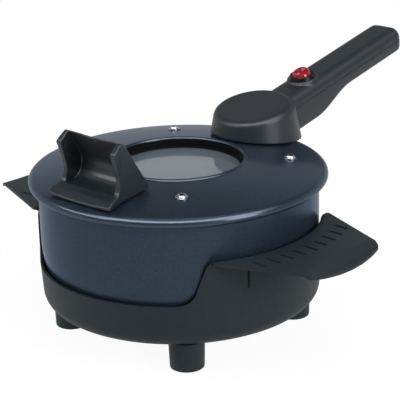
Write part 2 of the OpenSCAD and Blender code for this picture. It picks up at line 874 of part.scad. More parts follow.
// The upper shell's section: a short upright side and an oval shoulder up to the flat top
function upper_ring(s) =
    let (w = half_w(s), h = shell_up - end_drop(s), in = crown_in*w/handle_hw)
    let (shoulder = [for (a = [0:15:90]) [w - in*(1 - cos(a)), side_h + (h - side_h)*sin(a)]])
    let (half = concat([[w, 0]], shoulder))
    concat([for (p = half) [p.x, s, p.y]], [for (p = backwards(half)) [-p.x, s, p.y]]);

function lower_ring(s, grow) =
    let (w = half_w(s) + grow, d = deep(s) + grow - end_drop(s), c = 3.4)
    let (side = [[w, 0], [w - 0.3, -(d - c)*0.6]])
    let (half = concat(side, arc([w - 0.8 - c, -d + c], c, 0, -90, 4)))
    concat([for (i = [len(half) - 1:-1:0]) [half[i].x, s, half[i].y]], [for (p = half) [-p.x, s, p.y]]);

// The hollow of the upper and of the lower shell
function upper_hollow(s) =
    let (w = half_w(min(s, handle_l - end_r)) - 3 - shell_wall, h = shell_up - shell_wall)
    [[w, s, -over], [w, s, h*0.6], [w - 3, s, h], [3 - w, s, h], [-w, s, h*0.6], [-w, s, -over]];

function lower_hollow(s) =
    let (w = half_w(min(s, handle_l - end_r)) - 1 - shell_wall, d = deep(s) - shell_wall)
    [[w - 3, s, -d], [w, s, 3 - d], [w, s, over], [-w, s, over], [-w, s, 3 - d], [3 - w, s, -d]];

inlet_in = 0.6;
inlet_s = handle_l - inlet_in - inlet_l;
hollow_end = inlet_s + over;
hollow_stations = concat([for (s = stations) if (s < hollow_end - 1) s], [hollow_end]);

// The boss's upright cone, drawn in by d
module boss_cone(d) {
    k = (boss_foot_r - boss_top_r)/(handle_up - boss_gap + boss_up);
    up = 40;
    down = 12;
    translate([0, boss_y, seat_z - down])
        cylinder(h = up + down, r1 = boss_foot_r + k*down - d, r2 = boss_foot_r - k*up - d);
}

// The boss's outside: the cone between the slope of the lid and the rounded top face
module boss_outside() {
    edge_r = boss_top_r + 0.4;
    intersection() {
        boss_cone(0);
        on_seat() translate([-far/2, -far/2, 0]) cube([far, far, far]);
        on_handle() rotate_extrude() polygon(concat(
            [[0, -60], [edge_r + 40, -60], [edge_r + 40, -40]],
            arc([edge_r - boss_round, boss_up - boss_round], boss_round, 20, 90, 6),
            [[0, boss_up]]
        ));
    }
}

module boss_inside() {
    intersection() {
        boss_cone(shell_wall);
        on_handle() translate([-far/2, -far/2, -far + boss_up - shell_wall - 0.5]) cube([far, far, far]);
    }
}

post_s = [slim_start + 9, handle_l - 29];
head_gap = 0.4;
head_deep = 3.5;
lower_post_r = screw_head_r + head_gap + 1.6;

// Cylinders at the handle's screws, between two heights measured from the parting line
module at_handle_screws(r, z0, z1) {
    for (s = post_s) on_handle() translate([0, s, z0]) cylinder(h = z1 - z0, r = r);
}

// Posts in the boss that take the seat screws, ending inside its top wall
module seat_posts() {
    intersection() {
        at_seat_screws() translate([0, 0, spacer_t + plate_t + part_gap]) cylinder(h = far, r = post_r);
        on_handle() translate([-far/2, -far/2, boss_up - shell_wall/2 - far]) cube([far, far, far]);
    }
}

// The opening in the boss's wall where the lower shell's belly comes out
module boss_mouth() {
    mouth_hw = handle_hw + fit_gap;
    mouth_deep = 2*belly_deep;
    on_handle() translate([-mouth_hw, shell_start, -mouth_deep])
        cube([2*mouth_hw, mouth_l, mouth_deep + parting_gap]);
}

module inlet_space(gap) {
    on_handle() translate([-inlet_w/2 - gap, inlet_s - gap, -inlet_h/2 - gap])
        cube([inlet_w + 2*gap, inlet_l + 2*gap + over, inlet_h + 2*gap]);
}

pad_sink = 5;
pad_flare = 2.4;

module switch_pad() {
    on_handle() translate([0, switch_s, shell_up - pad_sink])
        cylinder(h = switch_top - shell_up + pad_sink, r1 = bezel_r + pad_flare, r2 = bezel_r + 0.6);
}

module handle_top_shell() {
    place() color(black) difference() {
        union() {
            difference() {
                union() {
                    boss_outside();
                    on_handle() loft([for (s = stations) upper_ring(s)]);
                    switch_pad();
                }
                boss_inside();
                on_handle() loft([for (s = hollow_stations) upper_hollow(s)]);
                boss_mouth();
            }
            at_handle_screws(post_r, 0, shell_up - 1);
            seat_posts();
        }
        at_handle_screws(screw_r + bore_gap, -over, shell_up - 3);
        at_seat_screws() cylinder(h = seat_screw_up + part_gap, r = screw_r + bore_gap);
        on_handle() translate([0, switch_s, 0]) cylinder(h = far, r = switch_hole_r + bore_gap);
        inlet_space(part_gap);
    }
}

module handle_bottom_shell() {
    place() color(black) difference() {
        union() {
            difference() {
                on_handle() loft([for (s = stations) lower_ring(s, 0)]);
                on_handle() loft([for (s = hollow_stations) lower_hollow(s)]);
                boss_cone(shell_wall);
            }
            at_handle_screws(lower_post_r, 1 - grip_deep, -part_gap);
        }
        at_handle_screws(screw_r + bore_gap, -grip_deep - over, over);
        at_handle_screws(screw_head_r + head_gap, -grip_deep - over, head_deep - grip_deep);
        inlet_space(part_gap);
    }
}

handle_screw_l = 13;

module handle_screws() {
    place() color(steel) for (s = post_s) on_handle() translate([0, s, head_deep - grip_deep])
        mirror([0, 0, 1]) screw(handle_screw_l);
}

// The boss's seat: a heat spacer on the lid, and the plate that closes the boss

spacer_r = 31;

module heat_spacer() {
    place() color("#54504a") difference() {
        intersection() {
            on_seat() translate([0, 0, -2*spacer_t]) cylinder(h = 3*spacer_t, r = spacer_r);
            cylinder(h = far, r = shoulder_x);
        }
        lid_cover(part_gap);
        at_seat_screws() cylinder(h = far/4, r = screw_r + bore_gap, center = true);
        on_seat() cylinder(h = far/4, r = wire_hole_r, center = true);
    }
}

module boss_plate() {
    place() color(black) difference() {
        intersection() {
            boss_cone(shell_wall + fit_gap);
            on_seat() translate([-far/2, -far/2, spacer_t]) cube([far, far, plate_t]);
        }
        on_handle() loft([for (s = stations) lower_ring(s, fit_gap)]);
        at_seat_screws() cylinder(h = far/4, r = screw_r + bore_gap, center = true);
        on_seat() cylinder(h = far/4, r = wire_hole_r, center = true);
    }
}

seat_screw_up = spacer_t + plate_t + 7;

// A seat screw's head lies under the lid; its shank goes up through spacer and plate into a post of the boss
module seat_screws() {
    place() color(steel) for (a = seat_screw_a) {
        p = seat_screw_r*[cos(a), sin(a)];
        q = [p.x, boss_y + p.y*cos(boss_tilt)];
        under = lid_z(norm(q) + screw_head_r) - lid_t - part_gap;
        head = under - seat_z + p.y*sin(boss_tilt) - screw_head_r*sin(boss_tilt);
        on_seat() translate([p.x, p.y, head]) mirror([0, 0, 1]) screw(seat_screw_up - head);
    }
}

// Switch

switch_top = shell_up + pad_up;
pivot_z = switch_top + bezel_h - 2;
pivot_gap = 0.05;
rocker_gap = 0.35;
well_deep = 6;
body_deep = 6;

module on_switch() {
    on_handle() translate([0, switch_s, 0]) children();
}

module switch_housing() {
    place() color(black) on_switch() difference() {
        union() {
            translate([0, 0, switch_top]) cylinder(h = bezel_h, r1 = bezel_r - 0.6, r2 = bezel_r - 2);
            translate([0, 0, -body_deep]) cylinder(h = switch_top + body_deep + 0.01, r = switch_hole_r);
        }
        translate([0, 0, switch_top - well_deep]) cylinder(h = far, r = rocker_r + rocker_gap);
        translate([0, 0, pivot_z]) rotate([0, 90, 0])
            cylinder(h = 2*(rocker_r + 1.2), r = pivot_r + pivot_gap, center = true);
    }
}

module switch_terminals() {
    place() color("#c8a24a") on_switch() for (s = [-1, 1])
        translate([-2.4, s*4.5 - 0.4, -2*body_deep]) cube([4.8, 0.8, body_deep]);
}

// The rocker's far side is up at rest; its rim is a ball about the pivot, so that it clears the bezel
module rocker() {
    lean = rocker_throw/2;
    crown = 6.4;
    dish_r = 18;
    place() color(red) on_switch() translate([0, 0, pivot_z]) rotate([lean, 0, 0]) {
        intersection() {
            sphere(r = rocker_r);
            translate([-far/2, -far/2, -3]) cube([far, far, far]);
            across_x(far) polygon(concat(
                [[rocker_r + over, -5], [rocker_r + over, crown - 2.6]],
                arc([0, crown - 2 + dish_r], dish_r, -62, -118, 6),
                [[-rocker_r - over, crown - 2.6], [-rocker_r - over, -5]]
            ));
        }
        rotate([0, 90, 0]) cylinder(h = 2*(rocker_r + 0.9), r = pivot_r, center = true);
    }
}

// Power inlet

module power_inlet() {
    wall = 1.8;
    back = 3;
    place() color("#131415") on_handle() translate([0, inlet_s, 0]) difference() {
        translate([-inlet_w/2, 0, -inlet_h/2]) cube([inlet_w, inlet_l, inlet_h]);
        translate([-inlet_w/2 + wall, back, -inlet_h/2 + wall])
            cube([inlet_w - 2*wall, inlet_l, inlet_h - 2*wall]);
        at_inlet_pins() cube([pin_w + 2*bore_gap, inlet_l, pin_t + 2*bore_gap], center = true);
    }
}

pin_at = [[-3, -1.2], [3, -1.2], [0, 1.6]];
pin_w = 2;
pin_t = 1;
pin_l = 16;
pin_tail = 4;

module at_inlet_pins() {
    for (p = pin_at) translate([p.x, 0, p.y]) children();
}

module inlet_pins() {
    place() color(bright) on_handle() translate([0, inlet_s, 0]) at_inlet_pins()
        translate([0, pin_l/2 - pin_tail, 0]) cube([pin_w, pin_l, pin_t], center = true);
}

// Wires

wire_r = 1.3;

// A round wire swept along points
module wire(path) {
    n = len(path);
    function heading(i) = unit(path[min(i + 1, n - 1)] - path[max(i - 1, 0)]);
    function ring_at(i) =
        let (t = heading(i), u = unit(cross([1, 0, 0], t)), v = cross(t, u))
        [for (k = [0:7]) path[i] + wire_r*(cos(45*k)*u + sin(45*k)*v)];
    loft([for (i = [0:n - 1]) ring_at(i)]);
}

// Points between p1 and p2 of a smooth curve through p0, p1, p2 and p3
function bend(p0, p1, p2, p3, n = 3) = [for (i = [0:n - 1]) let (t = i/n)
    0.5*(2*p1 + (p2 - p0)*t + (2*p0 - 5*p1 + 4*p2 - p3)*t*t + (3*p1 - p0 - 3*p2 + p3)*t*t*t)];

function curve(p) = let (m = len(p)) concat(
    [for (i = [0:m - 2]) each bend(p[max(i - 1, 0)], p[i], p[i + 1], p[min(i + 2, m - 1)])], [p[m - 1]]);

earth_x = 12.3;
pin_s = inlet_s - pin_tail + 1.2;
tab_s = 4.1;
tab_n = -11;

// A wire's way along the handle on one side, from an inlet pin to the belly
function handle_way(pin_x, side, n) = [
    [pin_x, pin_s, n], [pin_x + side*0.5, pin_s - 1.6, n], [pin_x + side*(8.5 - abs(pin_x))*0.75, pin_s - 5, n],
    [side*9, pin_s - 10, n*2], [side*9, slim_start + 9, n*2]
];

// A wire's way from the handle through the boss and its wire hole, at x and y from the boss's axis
function boss_way(x, y) = [
    [x*1.2, boss_y + 14, seat_z + 7.6], [x, boss_y + y + 4.5, seat_z + 7.2],
    [x, boss_y + y, seat_z + 3.2], [x*1.05, boss_y + y*0.8, seat_z - 2.4]
];

// A wire's way from under the lid down into a port of the terminal block
function block_way(side) = let (x = side*(heater_end_x - wire_port_in)) [
    [x*0.75, ring_end_y + 10, block_top + 3], [x, ring_end_y + 3.8, block_top + 2.4],
    [x, ring_end_y, block_top], [x, ring_end_y, wire_port_z - 0.4]
];

module wire_live() {
    route = concat(handle_way(-3, -1, -1.2), [[-9, slim_start - 8, -4], [-6, switch_s + 19, -9],
                   [-1.5, switch_s + 10, tab_n], [0, switch_s + tab_s, tab_n]]);
    place() color("#7a4a2a") wire(curve(in_handle(route)));
}

module wire_switched() {
    route = [[0, switch_s - tab_s, tab_n], [0, switch_s - 10, tab_n - 0.6],
             [0, switch_s - 26, tab_n - 1], [0, 26, -10]];
    place() color("#8c2b22") wire(curve(concat(in_handle(route), boss_way(0, 3), block_way(-1))));
}

module wire_neutral() {
    route = concat(handle_way(3, 1, -1.2), [[9.3, slim_start - 8, -4], [9.8, switch_s + 17, -8],
                   [9.8, switch_s + 6, -11], [9.8, switch_s - 8, -12], [9, 42, -12], [7, 30, -11]]);
    place() color("#2f5fa8") wire(curve(concat(in_handle(route), boss_way(3.4, -0.5), block_way(1))));
}

module wire_earth() {
    route = concat(handle_way(0, -1, 1.6), [[-9.3, slim_start - 8, 1.5], [-9.8, switch_s + 17, -5],
                   [-9.8, switch_s + 6, -10], [-9.8, switch_s - 8, -11.5], [-9, 42, -12], [-7, 30, -11]]);
    tag_y = ring_end_y + block_l/2 + 3;
    tag = [[0.9 - earth_x, tag_y + 1.6, shield_top + 8], [-earth_x, tag_y, shield_top + 4],
           [-earth_x, tag_y, shield_z + shield_t/2]];
    place() color("#4f9a3c") wire(curve(concat(in_handle(route), boss_way(-earth_x/3, -0.5), tag)));
}

basket();
leg_front_right();
leg_rear_right();
leg_rear_left();
leg_front_left();
foot_pads();
leg_screws();
pan();
lid_shell();
inner_lid();
window_glass();
window_seal_upper();
window_seal_lower();
lid_posts();
lid_washers();
lid_screws();
heating_ring();
ring_clips();
ring_bushes();
terminal_block();
thermal_cutout();
front_grip();
front_grip_screws();
heat_spacer();
boss_plate();
seat_screws();
handle_top_shell();
handle_bottom_shell();
handle_screws();
switch_housing();
switch_terminals();
rocker();
power_inlet();
inlet_pins();
wire_live();
wire_switched();
wire_neutral();
wire_earth();
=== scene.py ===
"""Looks of a portable round cooker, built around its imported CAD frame.

Laid out as an add-on and run as a script: main() registers the classes and calls the operators in order.
"""
import json
import math

import bmesh
import bpy
from bpy.props import FloatProperty, FloatVectorProperty, IntProperty, PointerProperty
from mathutils import Matrix, Vector


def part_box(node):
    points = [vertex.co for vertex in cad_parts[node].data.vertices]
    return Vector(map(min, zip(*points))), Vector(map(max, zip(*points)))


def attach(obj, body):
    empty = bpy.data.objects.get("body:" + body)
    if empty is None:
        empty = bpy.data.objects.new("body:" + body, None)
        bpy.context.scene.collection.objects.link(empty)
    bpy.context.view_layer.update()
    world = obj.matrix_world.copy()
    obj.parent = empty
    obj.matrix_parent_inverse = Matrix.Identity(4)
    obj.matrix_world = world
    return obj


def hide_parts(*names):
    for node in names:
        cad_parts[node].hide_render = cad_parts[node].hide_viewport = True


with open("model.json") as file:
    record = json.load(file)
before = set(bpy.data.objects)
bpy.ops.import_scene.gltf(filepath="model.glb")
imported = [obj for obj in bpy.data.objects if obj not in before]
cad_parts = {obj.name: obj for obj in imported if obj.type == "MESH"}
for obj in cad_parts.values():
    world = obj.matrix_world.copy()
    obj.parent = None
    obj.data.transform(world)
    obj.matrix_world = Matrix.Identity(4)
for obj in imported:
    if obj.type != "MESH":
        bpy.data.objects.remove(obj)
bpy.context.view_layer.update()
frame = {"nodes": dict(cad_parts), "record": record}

bl_info = {
    "name": "Portable round cooker",
    "version": (1, 0, 0),
    "blender": (4, 5, 0),
    "location": "View3D > Sidebar > Cooker",
    "description": "Builds the looks of a round cooker around its CAD frame",
    "category": "Object",
}

MM = 0.001
BODY_OF = {node: body for body, nodes in frame["record"]["behaviour"]["bodies"].items() for node in nodes}
PAN_LOW, PAN_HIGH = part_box("pan")
LID_LOW, LID_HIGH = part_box("lid_shell")
GLASS_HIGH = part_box("window_glass")[1]
AXIS = Vector((0, (LID_LOW.y + LID_HIGH.y) / 2, 0))
LID_RADIUS = (LID_HIGH.x - LID_LOW.x) / 2
BACKWARD = (-0.68, 0.733, 0)
SHOULDER, HEM, BEAD, BEAD_UP = 5 * MM, 2.7 * MM, 2 * MM, 1.1 * MM
GLASS_LAP = SEAL = 1.2 * MM
SLOPE_OUT, SLOPE_IN = 0.18, 0.08
LEAN = math.atan(SLOPE_OUT)
WINDOW = GLASS_HIGH.x - GLASS_LAP
WALL_Z = GLASS_HIGH.z + SEAL
RIM_Z = LID_LOW.z + HEM
EDGE_R = LID_RADIUS - SHOULDER + SHOULDER * math.sin(LEAN)
EDGE_Z = RIM_Z + SHOULDER * math.cos(LEAN)
BEND = (SLOPE_OUT - SLOPE_IN) / (2 * (EDGE_R - WINDOW - BEAD))
ROCKER_TILT, ROCKER_TOP, ROCKER_DISH = 21.3, 4.4, 18
SCREW_RINGS, WASHER_UP = (90 * MM, 90 * MM, 85 * MM, 85 * MM), 0.95 * MM
# Radius and height in millimetres: a button head with a socket and its shank, and a black lining in the socket that is
# painted shade
SCREW_LINE = ((0, 0.4), (1.5, 0.5), (1.5, 1.7), (1.7, 1.8), (2.5, 1.75), (3.1, 1.4), (3.5, 0.6), (3.6, 0),
              (2, 0), (2, -9), (0, -9))
SOCKET_SHADE_LINE = ((0, 0.55), (1.45, 0.6), (1.45, 1.72), (1.6, 1.76), (1.6, 0.5), (0, 0.45))
CAMERA_RIGHT, CAMERA_FORWARD = (0.7391, 0.6731, -0.0268), (-0.6403, 0.6896, -0.3383)
CAMERA_PLACE = (880.2, -923.3, 562.5)


def dome(r):
    """Height of the lid's outer face at a distance from the axis."""
    return EDGE_Z + SLOPE_OUT * (EDGE_R - r) - BEND * (EDGE_R - r) ** 2


def linear(hex_code):
    """Linear RGB of an sRGB hex colour."""
    parts = [int(hex_code[i:i + 2], 16) / 255 for i in (1, 3, 5)]
    return [c / 12.92 if c <= 0.04045 else ((c + 0.055) / 1.055) ** 2.4 for c in parts]


def length(name, description, default):
    """A length property, in metres."""
    return FloatProperty(name=name, description=description, default=default, unit="LENGTH", subtype="DISTANCE")


def power(name, description, default):
    """A lamp's power property, in watts."""
    return FloatProperty(name=name, description=description, default=default, subtype="POWER")


def level(name, description, default):
    """A brightness property."""
    return FloatProperty(name=name, description=description, default=default, min=0)


def colour(name, description, hex_code):
    """A colour property from an sRGB hex value."""
    return FloatVectorProperty(name=name, description=description, default=linear(hex_code), size=3,
                               min=0, max=1, subtype="COLOR")


class CookerSizes(bpy.types.PropertyGroup):
    """Sizes of the visible pieces that the CAD frame doesn't give."""
    moulded_edge: length("Moulded edge", "Softened edge of the stand's mouldings", 0.2 * MM)
    grip_cell: length("Grip cell", "Cell of the front grip's softened skin", 0.5 * MM)
    handle_cell: length("Handle cell", "Cell of the handle's softened skin", 0.7 * MM)
    sheet: length("Lid sheet", "Thickness of the lid's sheet", 1.6 * MM)
    pan_wall: length("Pan wall", "Thickness of the pan's wall", 2.4 * MM)
    spin_steps: IntProperty(name="Spin steps", description="Steps of a full turn of the pan and lid",
                            default=180, min=48)


class CookerColours(bpy.types.PropertyGroup):
    """Colours of the cooker's finishes."""
    paint: colour("Paint", "Navy paint of the pan and lid", "#2d3947")
    paint_pale: colour("Paint flakes", "Paler flakes in the navy paint", "#3c4959")
    stand: colour("Stand", "Charcoal plastic of the stand", "#1b262c")
    stand_pale: colour("Stand grain", "Paler grain of the stand", "#222d33")
    handle: colour("Handle", "Black plastic of the handle and grip", "#171f26")
    handle_pale: colour("Handle flow", "Paler flow marks of the handle", "#1c252c")
    grip: colour("Grip", "Black plastic of the front grip", "#1f262b")
    grip_pale: colour("Grip grain", "Paler grain of the front grip", "#2c3439")
    rocker: colour("Rocker", "Red plastic of the switch's rocker", "#c0182c")


class CookerStage(bpy.types.PropertyGroup):
    """Light and camera."""
    key: power("Key light", "Power of the long soft light at the front left", 9)
    fill: power("Fill light", "Power of the soft light on the right", 15)
    top: power("Top light", "Power of the soft light overhead", 4)
    ambient: level("Ambient", "Strength of the light from all round", 0.22)
    horizon: level("Horizon", "Brightness that gloss shows near the horizon behind the cooker", 0.65)
    overhead: level("Overhead", "Brightness that gloss shows elsewhere", 0.1)
    strip: level("Front lamps", "Brightness of the lamps that gloss shows high in front", 7)
    lens: FloatProperty(name="Lens", description="Focal length in millimetres", default=151.38)


# Materials

def per(mm):
    """Texture scale that repeats about once in so many millimetres, on Object coordinates in metres."""
    return 1 / (mm * MM)


def add(tree, kind, settings=None, links=None):
    """Adds a node, sets its properties and inputs, and links its inputs to outputs of other nodes."""
    made = tree.nodes.new(kind)
    for key, value in (settings or {}).items():
        if isinstance(key, int) or key in made.inputs:
            made.inputs[key].default_value = value
        else:
            setattr(made, key, value)
    for key, source in (links or {}).items():
        tree.links.new(source, made.inputs[key])
    return made


def ramp(tree, source, start, end, low=0.0, high=1.0, kind="LINEAR"):
    """A value that runs from low to high while the source runs from start to end."""
    made = add(tree, "ShaderNodeMapRange", {"interpolation_type": kind, "From Min": start, "From Max": end,
                                            "To Min": low, "To Max": high}, {"Value": source})
    return made.outputs[0]


def join(tree, operation, *sources):
    """The result of a math node on other nodes' outputs."""
    return add(tree, "ShaderNodeMath", {"operation": operation}, dict(enumerate(sources))).outputs[0]


def grained(name, colours, rough, grain, relief, mottle, **sockets):
    """A surface with mottled colour and a fine grain: colours and roughness run between two values,
    grain and mottle are sizes in millimetres, relief is the grain's height in millimetres."""
    if name in bpy.data.materials:
        return bpy.data.materials[name]
    material = bpy.data.materials.new(name)
    material.use_nodes = True
    tree = material.node_tree
    shader = tree.nodes["Principled BSDF"]
    for key, value in sockets.items():
        shader.inputs[key.replace("_", " ")].default_value = value
    where = add(tree, "ShaderNodeTexCoord").outputs["Object"]
    clouds = add(tree, "ShaderNodeTexNoise", {"Scale": per(mottle), "Detail": 3.0}, {"Vector": where}).outputs["Fac"]
    fine = add(tree, "ShaderNodeTexNoise", {"Scale": per(grain), "Detail": 2.0}, {"Vector": where}).outputs["Fac"]
    spots = ramp(tree, join(tree, "MULTIPLY", clouds, fine), 0.12, 0.4)
    tint = add(tree, "ShaderNodeMixRGB", {"Color1": (*colours[0], 1), "Color2": (*colours[1], 1)}, {"Fac": spots})
    haze = ramp(tree, fine, 0.3, 0.7, *rough)
    bump = add(tree, "ShaderNodeBump", {"Distance": relief * MM}, {"Height": fine})
    tree.links.new(tint.outputs[0], shader.inputs["Base Color"])
    tree.links.new(haze, shader.inputs["Roughness"])
    tree.links.new(bump.outputs[0], shader.inputs["Normal"])
    return material


def stove_paint(name, coat):
    """Stoved navy metallic paint on steel sheet, with a fine orange-peel texture under a thin hard clear coat."""
    c = bpy.context.scene.cooker_colours
    return grained("stoved_navy_metallic_paint_" + name, (c.paint, c.paint_pale), (0.27, 0.35), 0.6, 0.025, 1.2,
                   Metallic=0.5, Specular_IOR_Level=0.2, Specular_Tint=(*linear("#b8cdec"), 1),
                   Coat_Weight=coat, Coat_Roughness=0.14, Coat_IOR=2.4)


def charcoal_polyamide():
    """Glass-filled polyamide, moulded in a fine-spark tool: matt, with a faint grain."""
    c = bpy.context.scene.cooker_colours
    return grained("charcoal_polyamide", (c.stand, c.stand_pale), (0.5, 0.6), 0.8, 0.02, 5,
                   Specular_IOR_Level=0.3)


def black_phenolic():
    """Heat-proof phenolic, moulded satin: black, with soft wide highlights."""
    c = bpy.context.scene.cooker_colours
    return grained("black_phenolic", (c.handle, c.handle_pale), (0.38, 0.46), 1.2, 0.006, 8)


def grained_phenolic():
    """The same phenolic from an etched tool: a little paler and glossier, with a visible grain."""
    c = bpy.context.scene.cooker_colours
    return grained("grained_phenolic", (c.grip, c.grip_pale), (0.3, 0.4), 0.7, 0.015, 3)


def plated_steel():
    """Nickel-plated screw steel: bright, a little hazy from the plating bath."""
    return grained("nickel_plated_steel", (linear("#b4b7bb"), linear("#d2d4d7")),
                   (0.18, 0.3), 0.6, 0.004, 3, Metallic=1.0)


def polished_steel():
    """Polished stainless washers and pins, dulled by rubbing."""
    return grained("polished_stainless_steel", (linear("#aeb2b6"), linear("#c6c9cc")),
                   (0.24, 0.34), 0.5, 0.002, 4, Metallic=1.0)


def black_silicone_and_shade():
    """Black silicone seal: matt and slightly dusty. The same black is also painted shade in the screw sockets and on
    the window's recessed wall.
    """
    return grained("black_silicone_rubber_and_painted_shade", (linear("#08090b"), linear("#101216")),
                   (0.5, 0.65), 0.6, 0.01, 5, Specular_IOR_Level=0.08)


def red_polycarbonate():
    """Translucent red polycarbonate: glossy and saturated, a little deeper where it is thick."""
    c = bpy.context.scene.cooker_colours
    return grained("red_polycarbonate", ([v * 0.75 for v in c.rocker], c.rocker),
                   (0.14, 0.2), 1.5, 0.002, 6, Coat_Weight=0.3)


def pale_print():
    """Pale pad-printed ink of the rocker's marks."""
    return grained("pale_pad_print", (linear("#c9b9b8"), linear("#dccfcd")), (0.4, 0.5), 0.4, 0.002, 1)


def switch_nylon():
    """Black glossy nylon of the switch's case and bezel."""
    return grained("black_switch_nylon", (linear("#0a0b0c"), linear("#101113")),
                   (0.22, 0.3), 0.9, 0.004, 8, Specular_IOR_Level=0.2)


def pressed_aluminium():
    """Bright pressed aluminium of the inner lid, with a soft haze from baking."""
    return grained("pressed_aluminium", (linear("#a9acae"), linear("#c9ccce")),
                   (0.25, 0.4), 0.7, 0.006, 22, Metallic=1.0)


def heater_steel():
    """Heat-tinted stainless tube: straw and brown stains over dull steel."""
    return grained("heat_tinted_tube", (linear("#4c443c"), linear("#82776a")),
                   (0.35, 0.5), 0.8, 0.008, 16, Metallic=1.0)


def steatite():
    """Bare steatite ceramic: cream, dry and finely pitted."""
    return grained("steatite_ceramic", (linear("#d9d1c0"), linear("#efe9dc")), (0.6, 0.75), 0.5, 0.02, 6)


def heat_board():
    """Pressed mica board of the heat spacer: brown-grey flakes."""
    return grained("mica_board", (linear("#443f38"), linear("#6b655a")), (0.6, 0.75), 1.4, 0.03, 5)


def brass():
    """Tinned brass tabs."""
    return grained("tinned_brass", (linear("#b18f3f"), linear("#d0b062")), (0.25, 0.35), 0.5, 0.004, 4, Metallic=1.0)


def wire_sheath(name, hex_code):
    """Silicone sheath of a wire: plain, softly glossy."""
    base = linear(hex_code)
    return grained("silicone_sheath_" + name, ([v * 0.8 for v in base], base), (0.4, 0.5), 0.8, 0.006, 7)


def tempered_glass():
    """Lightly tinted tempered soda-lime glass with a faint haze in its gloss, and a pale diffuse share that is painted
    light for the lit inside of the pan seen through it.
    """
    material = bpy.data.materials.new("tempered_glass")
    material.use_nodes = True
    tree = material.node_tree
    shader = tree.nodes["Principled BSDF"]
    tint = (*linear("#c4d5df"), 1)
    # Only part of the light passes through; the pale bluish diffuse rest is painted light for the pan's lit inside
    for key, value in {"Base Color": tint, "IOR": 1.52, "Transmission Weight": 0.72}.items():
        shader.inputs[key].default_value = value
    where = add(tree, "ShaderNodeTexCoord").outputs["Object"]
    smear = add(tree, "ShaderNodeTexNoise", {"Scale": per(25), "Detail": 4.0}, {"Vector": where})
    haze = ramp(tree, smear.outputs["Fac"], 0, 1, 0, 0.015)
    tree.links.new(haze, shader.inputs["Roughness"])
    return material


# Meshes

def piece(name, bm, material, node, sharp=35, stands_in=True):
    """Makes an object of a bmesh, shaded smooth up to an angle, that rides with a CAD node and may stand in for it."""
    mesh = bpy.data.meshes.new(name)
    bm.to_mesh(mesh)
    bm.free()
    if "custom_normal" in mesh.attributes:
        mesh.attributes.remove(mesh.attributes["custom_normal"])
    mesh.shade_smooth()
    mesh.set_sharp_from_angle(angle=math.radians(sharp))
    mesh.materials.clear()
    mesh.materials.append(material)
    made = bpy.data.objects.new(name, mesh)
    bpy.context.scene.collection.objects.link(made)
    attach(made, BODY_OF[node])
    if stands_in:
        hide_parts(node)
    return made


def softened(node, name, material, width, sharp=30):
    """A copy of a CAD node with its triangles merged, smooth faces and softened edges."""
    bm = bmesh.new()
    bm.from_mesh(frame["nodes"][node].data)
    bmesh.ops.remove_doubles(bm, verts=bm.verts, dist=2e-6)
    bmesh.ops.dissolve_limit(bm, angle_limit=math.radians(0.6), verts=bm.verts, edges=bm.edges)
    made = piece(name, bm, material, node, sharp)
    if width:
        edge = made.modifiers.new("Softened edges", "BEVEL")
        edge.width = width
        edge.segments = 2
        edge.limit_method = "ANGLE"
        edge.angle_limit = math.radians(sharp)
        edge.miter_outer = "MITER_ARC"
    return made


def moulded(node, name, material, cell, passes):
    """A copy of a CAD node under an even skin of small cells, smoothed so that its edges are soft."""
    bm = bmesh.new()
    bm.from_mesh(frame["nodes"][node].data)
    bmesh.ops.remove_doubles(bm, verts=bm.verts, dist=2e-6)
    made = piece(name, bm, material, node, 180)
    skin = made.modifiers.new("Even skin", "REMESH")
    skin.mode = "VOXEL"
    skin.voxel_size = cell
    skin.use_smooth_shade = True
    soft = made.modifiers.new("Soft edges", "SMOOTH")
    soft.factor = 0.5
    soft.iterations = passes
    return made


def dress(material, *nodes):
    """Gives CAD nodes a finish in their material slots."""
    for node in nodes:
        for slot in frame["nodes"][node].material_slots:
            slot.material = material


def arc(centre, radius, start, end, steps):
    """Points of an arc in a section, radius and height, angles in degrees."""
    turns = [math.radians(start + (end - start) * i / steps) for i in range(steps + 1)]
    return [(centre[0] + radius * math.cos(a), centre[1] + radius * math.sin(a)) for a in turns]


def turned(section, steps, places=None):
    """A bmesh of a section of radius and height, closed and turned once round the pan's axis, or round the
    Z axis of each matrix in places."""
    bm = bmesh.new()
    for place in places or [Matrix.Translation(AXIS)]:
        verts = [bm.verts.new(place @ Vector((r, 0, z))) for r, z in section]
        edges = [bm.edges.new(pair) for pair in zip(verts, verts[1:] + verts[:1])]
        bmesh.ops.spin(bm, geom=verts + edges, cent=place.translation, axis=place.col[2].xyz, angle=2 * math.pi,
                       steps=steps, use_merge=True)
    bmesh.ops.remove_doubles(bm, verts=bm.verts, dist=1e-6)
    bmesh.ops.recalc_face_normals(bm, faces=bm.faces)
    return bm


def loop(points, radius):
    """A bmesh of a closed round line through points."""
    bm = bmesh.new()
    turns = [2 * math.pi * k / 8 for k in range(8)]
    rings = []
    for before, here, after in zip(points[-1:] + points[:-1], points, points[1:] + points[:1]):
        along = (after - before).normalized()
        side = along.cross(Vector((0, 0, 1))).normalized()
        lift = side.cross(along)
        rings.append([bm.verts.new(here + radius * (math.cos(a) * side + math.sin(a) * lift)) for a in turns])
    for first, second in zip(rings, rings[1:] + rings[:1]):
        for k in range(8):
            bm.faces.new((first[k], first[k - 1], second[k - 1], second[k]))
    bmesh.ops.recalc_face_normals(bm, faces=bm.faces)
    return bm


